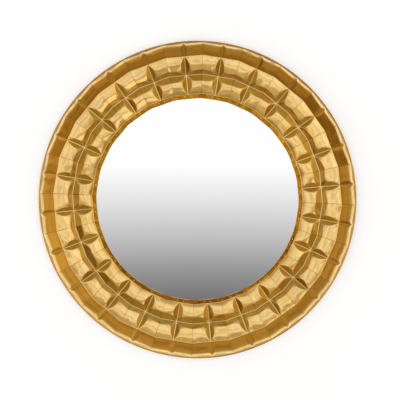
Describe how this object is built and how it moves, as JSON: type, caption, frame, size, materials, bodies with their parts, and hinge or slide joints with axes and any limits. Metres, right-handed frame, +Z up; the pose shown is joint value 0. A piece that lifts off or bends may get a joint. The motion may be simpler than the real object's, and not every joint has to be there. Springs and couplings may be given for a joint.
{
  "type": "convex wall mirror",
  "caption": "Round convex wall mirror in a wide ring frame of mitred, fluted brass panels pressed over a carved wooden core, with a plain brass rim band",
  "frame": {"origin": "centre of the mirror on the wall plane, where the bumpers touch the wall", "axes": "+Z up, -Y out of the wall towards the viewer, +X to the viewer's right"},
  "size_m": [0.8999, 0.079, 0.9],
  "materials": {
    "brass_sheet": "hand-polished brass sheet, lightly brushed and aged",
    "brass_pins": "small round-headed brass pins",
    "carved_wood": "carved softwood, unfinished",
    "plywood": "sanded plywood, stained",
    "hardboard": "smooth brown hardboard",
    "mirror_glass": "silvered convex glass",
    "packing": "dark felt packing",
    "bumper_rubber": "soft black rubber",
    "hanger_steel": "zinc-plated steel",
    "screw_steel": "zinc-plated steel"
  },
  "bodies": {
    "root": {"cladding_panel_01": "brass_sheet", "cladding_panel_02": "brass_sheet", "cladding_panel_03": "brass_sheet", "cladding_panel_04": "brass_sheet", "cladding_panel_05": "brass_sheet", "cladding_panel_06": "brass_sheet", "cladding_panel_07": "brass_sheet", "cladding_panel_08": "brass_sheet", "cladding_panel_09": "brass_sheet", "cladding_panel_10": "brass_sheet", "cladding_panel_11": "brass_sheet", "cladding_panel_12": "brass_sheet", "cladding_panel_13": "brass_sheet", "cladding_panel_14": "brass_sheet", "cladding_panel_15": "brass_sheet", "cladding_panel_16": "brass_sheet", "cladding_panel_17": "brass_sheet", "cladding_panel_18": "brass_sheet", "cladding_panel_19": "brass_sheet", "cladding_panel_20": "brass_sheet", "cladding_panel_21": "brass_sheet", "cladding_panel_22": "brass_sheet", "cladding_panel_23": "brass_sheet", "cladding_panel_24": "brass_sheet", "core_block_01": "carved_wood", "core_block_02": "carved_wood", "core_block_03": "carved_wood", "core_block_04": "carved_wood", "core_block_05": "carved_wood", "core_block_06": "carved_wood", "core_block_07": "carved_wood", "core_block_08": "carved_wood", "core_block_09": "carved_wood", "core_block_10": "carved_wood", "core_block_11": "carved_wood", "core_block_12": "carved_wood", "back_ring": "plywood", "rim_band": "brass_sheet", "convex_mirror_glass": "mirror_glass", "glass_packing_ring": "packing", "back_board": "hardboard", "frame_screws": "screw_steel", "board_screws": "screw_steel", "wall_bumpers": "bumper_rubber", "lip_pins": "brass_pins", "hanger_strap_left": "hanger_steel", "hanger_strap_right": "hanger_steel", "strap_screws": "screw_steel"},
    "left_ring": {"hanger_ring_left": "hanger_steel"},
    "right_ring": {"hanger_ring_right": "hanger_steel"}
  },
  "joints": [
    {"name": "left_ring_swing", "type": "hinge", "parent": "root", "child": "left_ring", "pos_m": [0.3, -0.00445, 0.23], "axis": [1, 0, 0], "range_deg": [0, 180]},
    {"name": "right_ring_swing", "type": "hinge", "parent": "root", "child": "right_ring", "pos_m": [-0.3, -0.00445, 0.23], "axis": [1, 0, 0], "range_deg": [0, 180]}
  ]
}
